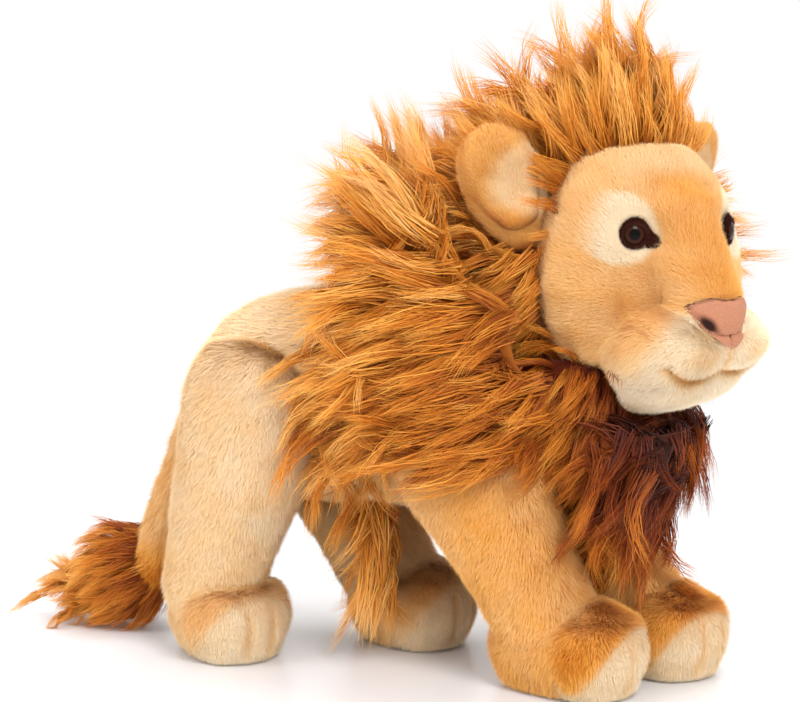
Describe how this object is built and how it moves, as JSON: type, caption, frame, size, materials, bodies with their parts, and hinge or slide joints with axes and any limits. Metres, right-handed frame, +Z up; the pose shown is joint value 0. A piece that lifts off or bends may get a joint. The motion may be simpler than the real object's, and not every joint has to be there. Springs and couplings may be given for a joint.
{
  "type": "plush lion",
  "caption": "Striding plush lion with a long-pile mane and tail tuft, plastic eyes, a turned head and sewn-on legs, ears and tail.",
  "frame": {"origin": "on the floor, under the middle of the bounding box", "axes": "+Z up, the lion faces -Y with its own left side towards +X, soles on Z = 0"},
  "size_m": [0.1792, 0.3974, 0.3264],
  "materials": {
    "apricot_plush": "short apricot plush, cream where the pile turns",
    "cream_plush": "short cream plush",
    "golden_pile": "long golden orange pile, dark at the roots",
    "dark_pile": "long mahogany pile",
    "rust_pile": "long rust pile with pale tips",
    "nose_velour": "short terracotta velour",
    "black_velour": "black velour",
    "eye_plastic": "polished dark brown",
    "white_filling": "loose polyester fibre",
    "washer_plastic": "plain moulded white"
  },
  "bodies": {
    "torso": {"belly_fringe": "dark_pile", "chest_mane": "dark_pile", "mane_cape": "golden_pile", "torso_filling": "white_filling", "torso_skin": "apricot_plush"},
    "head": {"eye_left": "eye_plastic", "eye_patch_left": "cream_plush", "eye_patch_right": "cream_plush", "eye_right": "eye_plastic", "eye_washer_left": "washer_plastic", "eye_washer_right": "washer_plastic", "eyelid_left": "black_velour", "eyelid_right": "black_velour", "head_filling": "white_filling", "head_mane": "golden_pile", "head_skin": "apricot_plush", "muzzle_skin": "cream_plush", "nose": "nose_velour"},
    "ear_right": {"ear_right_back": "apricot_plush", "ear_right_lining": "cream_plush"},
    "ear_left": {"ear_left_back": "apricot_plush", "ear_left_lining": "cream_plush"},
    "hind_leg_right": {"hind_leg_right_filling": "white_filling", "hind_leg_right_skin": "apricot_plush", "hind_leg_right_toe_panel": "cream_plush"},
    "hind_leg_left": {"hind_leg_left_filling": "white_filling", "hind_leg_left_skin": "apricot_plush", "hind_leg_left_toe_panel": "cream_plush"},
    "front_leg_right": {"front_leg_right_filling": "white_filling", "front_leg_right_skin": "apricot_plush", "front_leg_right_toe_panel": "cream_plush"},
    "front_leg_left": {"front_leg_left_filling": "white_filling", "front_leg_left_skin": "apricot_plush", "front_leg_left_toe_panel": "cream_plush"},
    "tail": {"tail_filling": "white_filling", "tail_skin": "apricot_plush", "tail_tuft": "rust_pile"}
  },
  "joints": [
    {"name": "head_turn", "type": "hinge", "parent": "torso", "child": "head", "pos_m": [-0.00935, -0.13625, 0.203], "axis": [0, 0, 1], "range_deg": [-12, 12], "stiffness_Nm_per_rad": 1},
    {"name": "ear_right_fold", "type": "hinge", "parent": "head", "child": "ear_right", "pos_m": [-0.04115, -0.0928, 0.214], "axis": [0.3716, -0.8346, 0.4067], "range_deg": [-8, 8], "stiffness_Nm_per_rad": 0.08},
    {"name": "ear_left_fold", "type": "hinge", "parent": "head", "child": "ear_left", "pos_m": [0.04365, -0.14579, 0.214], "axis": [0.913, 0.0319, -0.4067], "range_deg": [-8, 8], "stiffness_Nm_per_rad": 0.08},
    {"name": "hind_leg_right_swing", "type": "hinge", "parent": "torso", "child": "hind_leg_right", "pos_m": [-0.04535, 0.04875, 0.122], "axis": [1, 0, 0], "range_deg": [-4, 4], "stiffness_Nm_per_rad": 5},
    {"name": "hind_leg_left_swing", "type": "hinge", "parent": "torso", "child": "hind_leg_left", "pos_m": [0.02665, 0.04875, 0.122], "axis": [1, 0, 0], "range_deg": [-4, 4], "stiffness_Nm_per_rad": 5},
    {"name": "front_leg_right_swing", "type": "hinge", "parent": "torso", "child": "front_leg_right", "pos_m": [-0.04535, -0.06325, 0.116], "axis": [1, 0, 0], "range_deg": [-4, 4], "stiffness_Nm_per_rad": 5},
    {"name": "front_leg_left_swing", "type": "hinge", "parent": "torso", "child": "front_leg_left", "pos_m": [0.02665, -0.06325, 0.116], "axis": [1, 0, 0], "range_deg": [-4, 4], "stiffness_Nm_per_rad": 5},
    {"name": "tail_lift", "type": "hinge", "parent": "torso", "child": "tail", "pos_m": [-0.00935, 0.08675, 0.124], "axis": [1, 0, 0], "range_deg": [0, 30], "stiffness_Nm_per_rad": 0.3}
  ]
}
